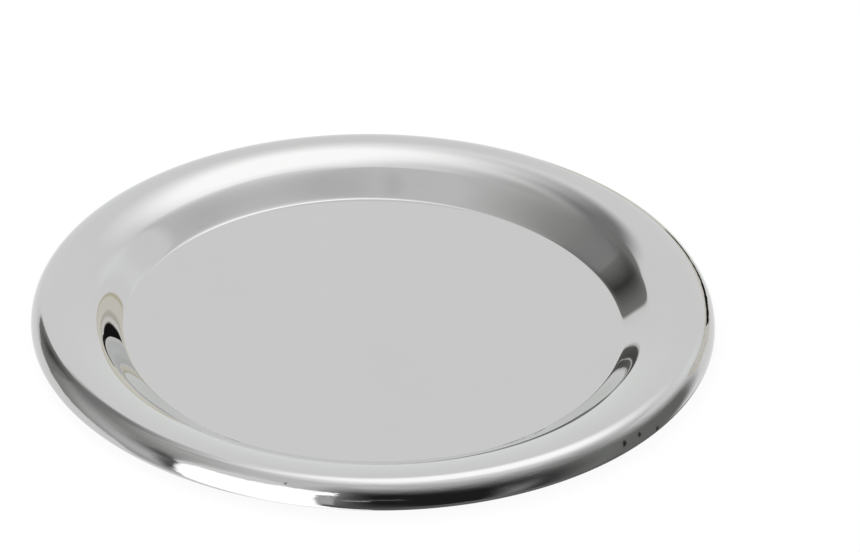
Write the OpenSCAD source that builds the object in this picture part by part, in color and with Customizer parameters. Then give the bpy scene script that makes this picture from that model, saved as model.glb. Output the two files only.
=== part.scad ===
// Round tray for coins and small change, pressed from one sheet of steel.
// A flat base, a sloping wall, a wide crowned rim that rolls down at the outside,
// and an edge that is curled inwards round a stiffening wire.
// The origin is at the centre of the underside, on the table, with +Z up.

/* [Tray] */
// Outside diameter of the rim
rim_d = 140; // [110:1:200]
// Height of the rim's crest above the table
tray_h = 6.8; // [5.8:0.1:10]
// Thickness of the sheet
sheet = 0.5; // [0.3:0.05:0.8]

/* [Base and wall] */
// Width of the sloping wall, measured flat, from the base to the rim
wall_run = 6.4; // [5.6:0.1:12]
// Radius of the hollow curve where the flat base turns up into the wall
base_fillet_r = 1.6; // [1:0.1:3.5]
// Radius of the rounded shoulder where the wall turns over into the rim
shoulder_r = 3; // [1.2:0.1:3.6]

/* [Rim] */
// Width of the rim, from the shoulder to the outer edge
rim_w = 13; // [10:0.5:20]
// Slope of the rim where it leaves the shoulder, in degrees
rim_slope = 26; // [10:1:30]
// Gap between the curled edge and the table
edge_gap = 1.1; // [0.3:0.1:2]

/* [Curled edge] */
// Diameter of the wire inside the curl
wire_d = 1.4; // [1:0.1:2]
// Gap between the wire and the sheet curled round it
wire_gap = 0.02; // [0.02:0.01:0.1]
// How far the sheet wraps round the wire, in degrees
curl_wrap = 270; // [180:5:280]

/* [Hidden] */
$fn = 180;
polished_steel = [0.80, 0.81, 0.82];
drawn_wire = [0.55, 0.56, 0.57];
// Furthest that a chord of the section may lie from its true arc
chord_error = 0.004;

rim_r = rim_d / 2;
shoulder_end_r = rim_r - rim_w;
base_r = shoulder_end_r - wall_run;

// The curl, the roll and the crown follow each other inwards from the edge.
curl_r = wire_d / 2 + wire_gap + sheet;
roll_r = tray_h - edge_gap - curl_r;
crown_run = rim_w - roll_r;
crown_r = crown_run / sin(rim_slope);
curl_z = edge_gap + curl_r;
shoulder_end_z = tray_h - crown_r * (1 - cos(rim_slope));

// The wall is the straight line that touches the fillet from below and the shoulder from above.
fillet_centre = [base_r, sheet + base_fillet_r];
shoulder_centre = [shoulder_end_r + shoulder_r * sin(rim_slope), shoulder_end_z - shoulder_r * cos(rim_slope)];
centre_step = shoulder_centre - fillet_centre;
wall_slope = atan2(centre_step.y, centre_step.x) + asin((base_fillet_r + shoulder_r) / norm(centre_step));

// Each arc of the section: its centre, the radius of the show side, and the tilt of the surface
// at its start and its end. Tilt is 0 where the show side faces up and 90 where it faces outwards.
// A hollow arc has its centre above the sheet and so a negative radius.
section_arcs = [
    [fillet_centre, -base_fillet_r, 0, -wall_slope],
    [shoulder_centre, shoulder_r, -wall_slope, -rim_slope],
    [[rim_r - roll_r, tray_h - crown_r], crown_r, -rim_slope, 0],
    [[rim_r - roll_r, curl_z], roll_r, 0, 90],
    [[rim_r - curl_r, curl_z], curl_r, 90, 90 + curl_wrap]
];

// A point of an arc at one tilt, at a depth below the show side
function arc_point(arc, tilt, depth) = arc[0] + (arc[1] - depth) * [sin(tilt), cos(tilt)];

// Chords that an arc needs to stay within the allowed error
function chord_count(arc) = max(2, ceil(abs(arc[3] - arc[2]) / (2 * acos(1 - chord_error / abs(arc[1])))));

// One side of the sheet, from the fillet to the end of the curl. The crown, the roll and the curl
// start where the arc before them ends, so their first point is left out.
function sheet_side(depth) = [
    for (k = [0 : len(section_arcs) - 1])
        let (arc = section_arcs[k], count = chord_count(arc))
            for (i = [(k < 2 ? 0 : 1) : count])
                arc_point(arc, arc[2] + (arc[3] - arc[2]) * i / count, depth)
];

function reversed(points) = [for (i = [len(points) - 1 : -1 : 0]) points[i]];

// Half of the tray's cross-section, at the sheet's one thickness throughout
module sheet_section() {
    polygon(concat([[0, sheet]], sheet_side(0), reversed(sheet_side(sheet)), [[0, 0]]));
}

// The pressed sheet: base, wall, rim and curled edge in one piece
module tray_pan() {
    color(polished_steel)
        rotate_extrude()
            sheet_section();
}

// The ring of wire that the edge is curled round
module rim_wire() {
    color(drawn_wire)
        rotate_extrude()
            translate([rim_r - curl_r, curl_z])
                circle(d = wire_d, $fn = 48);
}

tray_pan();
rim_wire();
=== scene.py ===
import math
import bpy
import numpy as np
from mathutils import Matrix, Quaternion, Vector


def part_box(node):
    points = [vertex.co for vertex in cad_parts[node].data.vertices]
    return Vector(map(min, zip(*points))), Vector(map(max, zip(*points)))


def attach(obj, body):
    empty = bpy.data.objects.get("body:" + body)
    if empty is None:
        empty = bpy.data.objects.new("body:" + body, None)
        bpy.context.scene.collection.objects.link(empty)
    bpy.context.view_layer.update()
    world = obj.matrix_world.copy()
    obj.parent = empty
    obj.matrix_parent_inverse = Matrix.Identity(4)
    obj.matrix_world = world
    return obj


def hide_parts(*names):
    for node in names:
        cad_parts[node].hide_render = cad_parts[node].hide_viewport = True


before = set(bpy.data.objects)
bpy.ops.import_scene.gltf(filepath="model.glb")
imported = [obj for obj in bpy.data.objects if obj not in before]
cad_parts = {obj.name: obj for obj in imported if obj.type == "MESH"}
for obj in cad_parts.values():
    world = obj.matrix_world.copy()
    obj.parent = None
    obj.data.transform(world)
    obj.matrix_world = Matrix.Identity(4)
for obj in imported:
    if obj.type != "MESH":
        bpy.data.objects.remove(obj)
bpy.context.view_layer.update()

mm = 0.001
panLow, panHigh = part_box("tray_pan")
print("frame loaded, tray box in mm:", [round(side / mm, 1) for side in panHigh - panLow])


class Wire:
    # an output socket; Python's operators on it add Math nodes
    def __init__(self, bench, socket):
        self.bench, self.socket = bench, socket

    def math(self, operation, *others):
        inputs = {i + 1: other for i, other in enumerate(others)}
        return self.bench.add("Math", {"operation": operation}, {0: self, **inputs})

    def __add__(self, other):
        return self.math("ADD", other)

    def __sub__(self, other):
        return self.math("SUBTRACT", other)

    def __rsub__(self, other):
        return self.bench.add("Math", {"operation": "SUBTRACT"}, {0: other, 1: self})

    def __mul__(self, other):
        return self.math("MULTIPLY", other)

    def __truediv__(self, other):
        return self.math("DIVIDE", other)

    def __pow__(self, other):
        return self.math("POWER", other)

    def __abs__(self):
        return self.math("ABSOLUTE")

    __radd__ = __add__
    __rmul__ = __mul__


class Bench:
    # one node tree, cleared and ready to be filled
    def __init__(self, tree):
        self.tree = tree
        tree.nodes.clear()

    def add(self, kind, settings=None, inputs=None, output=0):
        node = self.tree.nodes.new("ShaderNode" + kind)
        for name, value in (settings or {}).items():
            if name == "stops":
                ramp = node.color_ramp
                while len(ramp.elements) < len(value):
                    ramp.elements.new(0.5)
                for element, (place, level) in zip(ramp.elements, value):
                    element.position, element.color = place, (level, level, level, 1)
            else:
                setattr(node, name, value)
        for name, value in (inputs or {}).items():
            if isinstance(value, Wire):
                self.tree.links.new(value.socket, node.inputs[name])
            else:
                node.inputs[name].default_value = value
        return Wire(self, node.outputs[output])

    def step(self, value, low, high):
        # 0 below low, 1 above high, an even S-curve between; low above high turns it round
        return self.add("MapRange", {"interpolation_type": "SMOOTHSTEP"},
                        {"Value": value, "From Min": low, "From Max": high})

    def colour(self, factor, first, second):
        return self.add("Mix", {"data_type": "RGBA"}, {0: factor, 6: first, 7: second}, output=2)

    def split(self, vector):
        return [self.add("SeparateXYZ", None, {0: vector}, output=i) for i in range(3)]

    def join(self, x, y, z):
        return self.add("CombineXYZ", None, {0: x, 1: y, 2: z})

    def show(self, shader, output="OutputMaterial"):
        ending = self.tree.nodes.new("ShaderNode" + output)
        self.tree.links.new(shader.socket, ending.inputs["Surface"])

    def noise(self, vector, scale, detail=2.0, roughness=0.5):
        return self.add("TexNoise", None, {"Vector": vector, "Scale": scale, "Detail": detail,
                                           "Roughness": roughness})


def newMaterial(name):
    material = bpy.data.materials.new(name)
    material.use_nodes = True
    return material, Bench(material.node_tree)


# Mirror-polished stainless steel. Specks are dirt and small nicks on the rolled rim:
# angle round the tray in degrees, radius, height and size in mm, and how deep in tone.
steel = {
    "tone": (0.575, 0.575, 0.573, 1.0),
    "dullTone": (0.50, 0.50, 0.495, 1.0),    # where the polish is hazed
    "underTone": (0.47, 0.47, 0.465, 1.0),   # the side that isn't buffed
    "dirtTone": (0.06, 0.06, 0.055, 1.0),
    "gloss": 0.014,
    "haze": 0.03,
    "underGloss": 0.26,
    "wave": 0.00003,         # height of the slow unevenness of the pressed sheet, m
    "waveSize": 50.0,        # waves per metre
    "markHeight": 0.000001,
    "rollHeight": 0.000025,  # height of the streaks that the rolling left round the rim, m
    "rollStart": 0.0664,     # radius where those streaks begin and where they are full
    "rollFull": 0.0686,
    "specks": (
        (-43.0, 69.70, 3.95, 1.30, 0.95),
        (-39.2, 69.71, 3.92, 0.95, 0.9),
        (-34.5, 70.00, 2.60, 1.15, 0.95),
        (-104.0, 68.61, 5.56, 0.62, 0.6),
    ),
}


def polishedSteel():
    material, bench = newMaterial("polishedSteel")
    place = bench.add("TexCoord", None, None, output=3)
    x, y, z = bench.split(place)
    radius = (x * x + y * y) ** 0.5
    aroundX, aroundY = x / (radius + 0.001), y / (radius + 0.001)
    # radius less height grows steadily along the section, so noise on it makes rings on every part
    along = radius - z
    marks = bench.noise(bench.join(along * 900, aroundX * 2.5, aroundY * 2.5), 1.0, 3.0, 0.6)
    fineMarks = bench.noise(bench.join(along * 3600, aroundX * 9, aroundY * 9), 1.0, 2.0, 0.6)
    streaks = bench.noise(bench.join(along * 1100, aroundX * 15, aroundY * 15), 1.0, 3.0, 0.55)
    rolled = bench.step(radius, steel["rollStart"], steel["rollFull"])
    # wiping haze in broad soft patches
    haze = bench.step(bench.noise(place, 26.0, 4.0, 0.62), 0.46, 0.74)
    dirt = 0.0
    ragged = bench.noise(place, 2600.0, 2.0, 0.6)
    for angle, reach, height, size, depth in steel["specks"]:
        turn = math.radians(angle)
        centre = (reach * math.cos(turn) * mm, reach * math.sin(turn) * mm, height * mm)
        away = bench.add("VectorMath", {"operation": "DISTANCE"}, {0: place, 1: centre}, output=1)
        away = away + (ragged - 0.5) * (size * mm)
        dirt = bench.step(away, size * 0.65 * mm, size * 0.3 * mm) * depth + dirt
    under = bench.add("Attribute", {"attribute_name": "underside"}, None, output=2)
    grain = bench.noise(bench.join(x * 2600, y * 60, z * 2600), 1.0, 3.0, 0.6)
    showGloss = steel["gloss"] + haze * steel["haze"] + bench.step(marks, 0.55, 0.8) * 0.015 + dirt * 0.4
    underGloss = steel["underGloss"] + (grain - 0.5) * 0.22
    rough = showGloss * (1 - under) + underGloss * under
    tone = bench.colour(haze * 0.12 + bench.step(fineMarks, 0.5, 0.9) * 0.15, steel["tone"], steel["dullTone"])
    tone = bench.colour(dirt, tone, steel["dirtTone"])
    tone = bench.colour(under, tone, steel["underTone"])
    wave = bench.noise(place, steel["waveSize"], 1.5, 0.4)
    bumpWave = bench.add("Bump", None, {"Strength": 1.0, "Distance": steel["wave"], "Height": wave})
    bumpRoll = bench.add("Bump", None, {"Strength": 1.0, "Distance": steel["rollHeight"],
                                        "Height": streaks * rolled, "Normal": bumpWave})
    bumpMarks = bench.add("Bump", None, {"Strength": 1.0, "Distance": steel["markHeight"],
                                         "Height": marks * 0.6 + fineMarks * 0.4, "Normal": bumpRoll})
    bench.show(bench.add("BsdfPrincipled", None, {"Base Color": tone, "Metallic": 1.0, "Roughness": rough,
                                                  "Normal": bumpMarks}))
    return material


def drawnWire():
    material, bench = newMaterial("drawnWire")
    place = bench.add("TexCoord", None, None, output=3)
    x, y, z = bench.split(place)
    radius = (x * x + y * y) ** 0.5
    # die marks run along the wire
    marks = bench.noise(bench.join(radius * 9000, z * 9000, x / radius * 3), 1.0, 2.0, 0.6)
    patches = bench.noise(place, 160.0, 3.0, 0.6)
    tone = bench.colour(bench.step(patches, 0.4, 0.7), (0.30, 0.30, 0.31, 1), (0.42, 0.42, 0.43, 1))
    bump = bench.add("Bump", None, {"Strength": 1.0, "Distance": 0.00001, "Height": marks})
    bench.show(bench.add("BsdfPrincipled", None, {"Base Color": tone, "Metallic": 1.0,
                                                  "Roughness": 0.32 + marks * 0.2, "Normal": bump}))
    return material


def revolve(name, section, tilt, extra, turns, closed):
    # A section point (r, z) is carried round the Z axis to (r cos a, r sin a, z). Its normal, tilted
    # outwards from vertical by the tilt t, goes with it: (sin t cos a, sin t sin a, cos t).
    # A closed section gives a ring; an open one starts and ends on the axis, with one point there.
    angle = np.linspace(0, 2 * math.pi, turns, endpoint=False)
    rings = section if closed else section[1:-1]
    ringTilt = tilt if closed else tilt[1:-1]
    around = np.stack([np.cos(angle), np.sin(angle)], -1)
    points = np.concatenate([rings[:, None, :1] * around, np.repeat(rings[:, None, 1:], turns, 1)], -1)
    normals = np.concatenate([np.sin(ringTilt)[:, None, None] * around,
                              np.repeat(np.cos(ringTilt)[:, None, None], turns, 1)], -1)
    points, normals = points.reshape(-1, 3), normals.reshape(-1, 3)
    count = len(rings)
    row = np.arange(count if closed else count - 1)[:, None]
    here, after = np.arange(turns)[None], (np.arange(turns)[None] + 1) % turns
    following = (row + 1) % count
    quads = np.stack([row * turns + here, following * turns + here,
                      following * turns + after, row * turns + after], -1).reshape(-1, 4)
    faces = quads.tolist()
    mark = np.repeat(extra if closed else extra[1:-1], turns)
    if not closed:
        top, bottom, last = len(points), len(points) + 1, (count - 1) * turns
        here, after = here[0], after[0]
        faces += np.stack([np.full(turns, top), here, after], -1).tolist()
        faces += np.stack([last + here, np.full(turns, bottom), last + after], -1).tolist()
        ends = [[0, 0, section[0, 1]], [0, 0, section[-1, 1]]]
        points = np.concatenate([points, ends])
        normals = np.concatenate([normals, [[0, 0, 1], [0, 0, -1]]])
        mark = np.concatenate([mark, [extra[0], extra[-1]]])
    mesh = bpy.data.meshes.new(name)
    mesh.from_pydata(points.tolist(), [], faces)
    mesh.shade_smooth()
    attribute = mesh.attributes.new("underside", "FLOAT", "POINT")
    attribute.data.foreach_set("value", mark.astype(np.float32))
    mesh.normals_split_custom_set_from_vertices(normals.tolist())
    piece = bpy.data.objects.new(name, mesh)
    bpy.context.scene.collection.objects.link(piece)
    return piece


pan = {
    "rimRadius": panHigh.x,
    "height": panHigh.z,
    "sheet": 0.5 * mm,
    "wallRun": 6.4 * mm,
    "rimWidth": 13.0 * mm,
    "rimSlope": math.radians(26),
    "edgeGap": 1.1 * mm,
    "wireDiameter": 1.4 * mm,
    "wireGap": 0.02 * mm,
    "curlWrap": math.radians(270),
    "turns": 352,
    "wallSteps": 60,
    "steps": (20, 44, 44),       # rings on the crown, roll and curl
    "baseRings": (0.0, 0.2, 0.4, 0.6, 0.8, 0.95),
}
curlRadius = pan["wireDiameter"] / 2 + pan["wireGap"] + pan["sheet"]
curlHeight = pan["edgeGap"] + curlRadius


def rimArcs():
    # each arc of the rim: centre, radius of the show side, first and last tilt
    rollRadius = pan["height"] - curlHeight
    crownRadius = (pan["rimWidth"] - rollRadius) / math.sin(pan["rimSlope"])
    crest = pan["rimRadius"] - rollRadius
    curl = pan["rimRadius"] - curlRadius
    quarter = math.pi / 2
    return [
        (np.array([crest, pan["height"] - crownRadius]), crownRadius, -pan["rimSlope"], 0.0),
        (np.array([crest, curlHeight]), rollRadius, 0.0, quarter),
        (np.array([curl, curlHeight]), curlRadius, quarter, quarter + pan["curlWrap"]),
    ]


def wallCurve(start, end, steps):
    # The pressed wall is one smooth S. With w from -1 at the base to 1 at the rim, its tilt is
    # T (1 - 0.05 w^2 - 0.95 w^10) on the base's side and
    # T - (T - rimSlope) (0.4 w^2 + 0.6 w^6) on the rim's.
    # The steepest tilt T is the one whose climb, the integral of tan(tilt), meets the rim.
    w = np.linspace(-1, 1, steps + 1)
    radius = start[0] + (end[0] - start[0]) * (w + 1) / 2
    steepest = np.radians(np.linspace(28, 56, 561))[:, None]
    tilt = np.where(w < 0, steepest * (1 - 0.05 * w**2 - 0.95 * w**10),
                    steepest - (steepest - pan["rimSlope"]) * (0.4 * w**2 + 0.6 * w**6))
    slope = np.tan(tilt)
    climb = np.cumsum((slope[:, 1:] + slope[:, :-1]) / 2 * np.diff(radius), 1)
    best = np.abs(climb[:, -1] - (end[1] - start[1])).argmin()
    height = start[1] + np.concatenate([[0], climb[best]]) * (end[1] - start[1]) / climb[best, -1]
    return np.stack([radius, height], -1), -tilt[best]


def showSide(share):
    # the upper side of the sheet from the centre to the end of the curl, and its tilt
    rim = rimArcs()
    centre, radius, first, last = rim[0]
    shoulder = centre + radius * np.array([math.sin(first), math.cos(first)])
    foot = np.array([shoulder[0] - pan["wallRun"], pan["sheet"]])
    flat = np.array([[foot[0] * part, pan["sheet"]] for part in pan["baseRings"]])
    wall, wallTilt = wallCurve(foot, shoulder, int(pan["wallSteps"] * share))
    points, tilts = [flat, wall], [np.zeros(len(flat)), wallTilt]
    for (centre, radius, first, last), steps in zip(rim, pan["steps"]):
        tilt = np.linspace(first, last, int(steps * share) + 1)[1:]
        points.append(centre + radius * np.stack([np.sin(tilt), np.cos(tilt)], -1))
        tilts.append(tilt)
    return np.concatenate(points), np.concatenate(tilts)


def trayPan():
    show, showTilt = showSide(1.0)
    under, underTilt = showSide(0.6)
    # the underside lies one sheet's thickness below, square to the surface
    under = under - pan["sheet"] * np.stack([np.sin(underTilt), np.cos(underTilt)], -1)
    section = np.concatenate([show, under[::-1]])
    tilt = np.concatenate([showTilt, underTilt[::-1] + math.pi])
    side = np.concatenate([np.zeros(len(show)), np.ones(len(under))])
    piece = revolve("pressedPan", section, tilt, side, pan["turns"], closed=False)
    piece.data.materials.append(polishedSteel())
    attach(piece, "root")
    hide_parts("tray_pan")
    print("pressed pan made,", len(piece.data.polygons), "faces")


def rimWire():
    tilt = np.linspace(0, 2 * math.pi, 24, endpoint=False)
    centre = np.array([pan["rimRadius"] - curlRadius, curlHeight])
    section = centre + pan["wireDiameter"] / 2 * np.stack([np.sin(tilt), np.cos(tilt)], -1)
    piece = revolve("stiffeningWire", section, tilt, np.zeros(len(tilt)), 240, closed=True)
    piece.data.materials.append(drawnWire())
    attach(piece, "root")
    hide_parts("rim_wire")
    print("rim wire made")


# Cards that the metal mirrors, in degrees. Azimuth "at" is 0 straight behind the tray and positive to
# the right; "up" is above the horizon; "wide" and "tall" are half sizes; "soft" is the width of the edge.
studio = {
    "backdrop": 0.96,
    "cards": [
        {"name": "ceiling", "at": 180.0, "up": 124.0, "wide": 700, "tall": 86, "soft": 5.1,
         "square": 1.6, "lean": 0, "level": 0.80},
        {"name": "backGlow", "at": 0.0, "up": 30.0, "wide": 34, "tall": 17.0, "soft": 20,
         "square": 4.0, "lean": 0, "level": 0.99},
        {"name": "rightGlow", "at": 39.0, "up": 30.0, "wide": 9.0, "tall": 6.0, "soft": 6.0,
         "square": 3.0, "lean": 0, "level": 1.06, "tint": (0.975, 1, 0.985)},
        {"name": "lowBackdrop", "at": 0.0, "up": -14.0, "wide": 16.0, "tall": 36, "soft": 9.0,
         "square": 4.0, "lean": 0, "level": 1.02, "tint": (0.975, 1, 0.985)},
        {"name": "rightRoom", "at": 129.4, "up": -30.0, "wide": 56, "tall": 87, "soft": 38,
         "square": 3.5, "lean": 0.10, "level": 0.24, "tint": (0.97, 1, 0.965)},
        {"name": "rightDoor", "at": 76.0, "up": -12.0, "wide": 19.0, "tall": 34, "soft": 16.0,
         "square": 5.0, "lean": 0, "level": 0.20, "tint": (0.98, 1, 0.955)},
        {"name": "cameraSide", "at": 154.4, "up": -12.7, "wide": 40, "tall": 55, "soft": 34,
         "square": 8.4, "lean": 0.47, "level": 0.02},
        {"name": "rightStreak", "at": 132.6, "up": -17.3, "wide": 2.9, "tall": 11.1, "soft": 18.0,
         "square": 4.7, "lean": -0.24, "level": 0.38},
        {"name": "leftWall", "at": -73.4, "up": 19.0, "wide": 30, "tall": 40, "soft": 30,
         "square": 9.7, "lean": 0.10, "level": 0.33, "tint": (1.01, 1, 0.975)},
        {"name": "wallTail", "at": -28.9, "up": 49.3, "wide": 48, "tall": 9.3, "soft": 10.5,
         "square": 2.6, "lean": 0.41, "level": 0.28},
        {"name": "cornerShade", "at": -105.0, "up": 4.9, "wide": 18.9, "tall": 33, "soft": 17.9,
         "square": 1.6, "lean": 0, "level": 0.02},
        {"name": "paleStrip", "at": -100.7, "up": -2.7, "wide": 29, "tall": 24, "soft": 39,
         "square": 1.6, "lean": 0.73, "level": 0.66},
        {"name": "darkDoor", "at": -45.7, "up": 20.2, "wide": 12.5, "tall": 17.3, "soft": 2.2,
         "square": 7.1, "lean": 0.87, "level": 0.26, "tint": (1.01, 1, 0.975)},
        {"name": "darkSpot", "at": -44.7, "up": 23.5, "wide": 3.8, "tall": 7.4, "soft": 15.0,
         "square": 3.9, "lean": 0, "level": 0.02},
        {"name": "whiteFloor", "at": -59.3, "up": -38.9, "wide": 34, "tall": 34, "soft": 4.0,
         "square": 9.6, "lean": 0.32, "level": 0.96},
        {"name": "boxFrame", "at": -119.9, "up": 8.1, "wide": 9.3, "tall": 17.2, "soft": 9.0,
         "square": 9.9, "lean": -1.75, "level": 0.13},
        # The next two cards are painted shadow: dark cards below the horizon that stand for the paper floor
        # lying in the tray's own shadow, to the right and in front.
        {"name": "floorShadow", "at": 92.0, "up": -68.0, "wide": 92, "tall": 34, "soft": 6.0,
         "square": 8.0, "lean": 0, "level": 0.18},
        {"name": "nearFloorShadow", "at": 176.7, "up": -61.4, "wide": 35, "tall": 31, "soft": 49,
         "square": 4.4, "lean": 0.90, "level": 0.12},
        {"name": "lowPanelEdge", "at": 30.0, "up": 6.0, "wide": 24, "tall": 8.9, "soft": 0.6,
         "square": 5.0, "lean": 0.35, "level": 0.64, "tint": (1.08, 1, 0.78)},
        {"name": "lowPanel", "at": 30.0, "up": 6.0, "wide": 23, "tall": 8.1, "soft": 0.6,
         "square": 5.0, "lean": 0.35, "level": 0.83, "tint": (1.03, 1, 0.89)},
        {"name": "lowSeam", "at": 30.0, "up": 4.0, "wide": 22, "tall": 6.6, "soft": 0.6,
         "square": 5.0, "lean": 0.60, "level": 0.62, "tint": (1.04, 1, 0.9)},
        {"name": "lowBoard", "at": 30.0, "up": 4.0, "wide": 21, "tall": 5.7, "soft": 0.6,
         "square": 5.0, "lean": 0.60, "level": 0.83, "tint": (1.02, 1, 0.94)},
        {"name": "lowShade", "at": 19.0, "up": 0.0, "wide": 4.6, "tall": 4.3, "soft": 0.4,
         "square": 8.0, "lean": 0.05, "level": 0.03},
        # Painted shade: a near-black band low above the horizon, which the inner wall mirrors as a dark
        # crescent.
        {"name": "lowShadeBand", "at": 28.3, "up": 3.0, "wide": 7.2, "tall": 4.9, "soft": 0.4,
         "square": 8.0, "lean": 0.70, "level": 0.01},
        {"name": "boxGlow", "at": -132.2, "up": 32.6, "wide": 20, "tall": 26, "soft": 3.8,
         "square": 1.8, "lean": 0, "level": 0.98},
        {"name": "leftSoftbox", "at": -140.1, "up": -26.4, "wide": 23, "tall": 64, "soft": 3.0,
         "square": 9.9, "lean": -0.17, "level": 1.90},
        {"name": "boxFoot", "at": -118.6, "up": -45.0, "wide": 3.6, "tall": 29, "soft": 2.0,
         "square": 6.0, "lean": 0, "level": 1.90},
        {"name": "boxCorner", "at": -164.6, "up": 30.0, "wide": 4.2, "tall": 7.0, "soft": 2.0,
         "square": 5.0, "lean": 0, "level": 1.90},
        {"name": "boxSide", "at": -166.0, "up": -4.0, "wide": 2.7, "tall": 21, "soft": 2.0,
         "square": 6.0, "lean": 0, "level": 0.57},
        {"name": "sheenStreak", "at": -175.5, "up": 3.0, "wide": 4.5, "tall": 4.5, "soft": 4.0,
         "square": 3.0, "lean": 0, "level": 0.40},
        {"name": "sheenTail", "at": 178.0, "up": 8.0, "wide": 9.0, "tall": 3.2, "soft": 3.0,
         "square": 4.0, "lean": 0, "level": 0.11},
        {"name": "underGlow", "at": -75.0, "up": -90.0, "wide": 75, "tall": 20, "soft": 6.0,
         "square": 8.0, "lean": 0, "level": 1.60},
        {"name": "topHalo", "at": 11.6, "up": 90.2, "wide": 91, "tall": 28, "soft": 22,
         "square": 2.3, "lean": -0.12, "level": 1.09},
        {"name": "topSoftbox", "at": 18.8, "up": 62.3, "wide": 40, "tall": 16.5, "soft": 18.2,
         "square": 2.0, "lean": -0.01, "level": 1.64},
    ],
}


def studioColour(bench, direction):
    # brightness that a mirrored ray sees in a direction: the cards painted one over another.
    # A card with half sizes w and h covers (|s/w|^p + |t/h|^p)^(1/p) < 1, where s and t are the
    # degrees aside and above its centre and p is its squareness; lean tilts it.
    x, y, z = bench.split(direction)
    elevation = z.math("ARCSINE") * (180 / math.pi)
    seen = (studio["backdrop"], studio["backdrop"], studio["backdrop"], 1)
    for card in studio["cards"]:
        turn = math.radians(card["at"])
        across = x * math.cos(turn) - y * math.sin(turn)
        along = x * math.sin(turn) + y * math.cos(turn)
        aside = across.math("ARCTAN2", along) * (180 / math.pi)
        above = elevation - card["up"] - aside * card["lean"]
        square = card["square"]
        reach = (abs(aside / card["wide"]) ** square + abs(above / card["tall"]) ** square) ** (1 / square)
        inside = (1 - reach) * min(card["wide"], card["tall"])
        mask = bench.step(inside, -card["soft"] / 2, card["soft"] / 2)
        shade = tuple(card["level"] * part for part in card.get("tint", (1, 1, 1)))
        seen = bench.colour(mask, seen, shade + (1,))
    return seen


def studioWorld():
    world = bpy.data.worlds.new("studio")
    bpy.context.scene.world = world
    world.use_nodes = True
    bench = Bench(world.node_tree)
    direction = bench.add("TexCoord", None, None, output=0)
    ray = bench.add("LightPath", None, None, output=0)
    node = ray.socket.node
    mirrored = Wire(bench, node.outputs["Is Glossy Ray"])
    plain = bench.colour(ray, (0.85, 0.85, 0.85, 1), (1, 1, 1, 1))
    seen = bench.colour(mirrored, plain, studioColour(bench, direction))
    bench.show(bench.add("Background", None, {"Color": seen, "Strength": 1.0}), "OutputWorld")


def paleFloor():
    half, level = 3.0, -0.05 * mm
    corners = [(-half, -half, level), (half, -half, level), (half, half, level), (-half, half, level)]
    mesh = bpy.data.meshes.new("paleFloor")
    mesh.from_pydata(corners, [], [(0, 1, 2, 3)])
    floor = bpy.data.objects.new("paleFloor", mesh)
    bpy.context.scene.collection.objects.link(floor)
    material, bench = newMaterial("palePaper")
    mirrored = bench.add("LightPath", None, None, output="Is Glossy Ray")
    below = bench.add("NewGeometry", None, None, output="Backfacing")
    paper = bench.add("BsdfDiffuse", None, {"Color": (0.93, 0.93, 0.93, 1)})
    glow = bench.add("Emission", None, {"Color": (1, 1, 1, 1), "Strength": 1.0})
    seen = bench.add("MixShader", None, {0: 0.93, 1: paper, 2: glow})
    # the metal sees past the paper to the studio's own floor, and from below the paper is clear
    clear = bench.add("BsdfTransparent", None, None)
    hidden = mirrored.math("MAXIMUM", below)
    bench.show(bench.add("MixShader", None, {0: hidden, 1: seen, 2: clear}))
    mesh.materials.append(material)


def softLamp():
    lamp = bpy.data.lights.new("softLamp", "AREA")
    lamp.shape, lamp.size, lamp.energy = "DISK", 0.6, 3.0
    holder = bpy.data.objects.new("softLamp", lamp)
    holder.location = (-0.15, 0.35, 0.75)
    holder.rotation_euler = (Vector((0, 0, 0)) - holder.location).to_track_quat("-Z", "Y").to_euler()
    holder.visible_glossy = False
    bpy.context.scene.collection.objects.link(holder)


camera = {
    "elevation": math.radians(31.81),
    "roll": math.radians(0.857),         # the picture leans a little to the right
    "distance": 2.0,
    "pixelsPerMm": 4.8853,
    "originPixel": (373.84, 329.01),     # the centre of the base, before the roll
    "picture": (860, 552),
    "sensor": 36.0,
}


def placeCamera():
    data = bpy.data.cameras.new("camera")
    data.sensor_width = camera["sensor"]
    wide, high = camera["picture"]
    data.lens = camera["pixelsPerMm"] * camera["distance"] / mm * camera["sensor"] / wide
    holder = bpy.data.objects.new("camera", data)
    lift = camera["elevation"]
    back = Vector((0, -math.cos(lift), math.sin(lift)))
    up = Vector((0, math.sin(lift), math.cos(lift)))
    aside = (wide / 2 - camera["originPixel"][0]) / camera["pixelsPerMm"] * mm
    above = (camera["originPixel"][1] - high / 2) / camera["pixelsPerMm"] * mm
    holder.location = back * camera["distance"] + Vector((aside, 0, pan["sheet"])) + up * above
    holder.rotation_mode = "QUATERNION"
    holder.rotation_quaternion = (-back).to_track_quat("-Z", "Y") @ Quaternion((0, 0, 1), camera["roll"])
    data.clip_start, data.clip_end = 0.05, 20
    bpy.context.scene.collection.objects.link(holder)
    bpy.context.scene.camera = holder


placeCamera()
print("camera placed")
trayPan()
rimWire()
studioWorld()
paleFloor()
softLamp()
bpy.context.scene.view_settings.view_transform = "Standard"
print("studio lit")
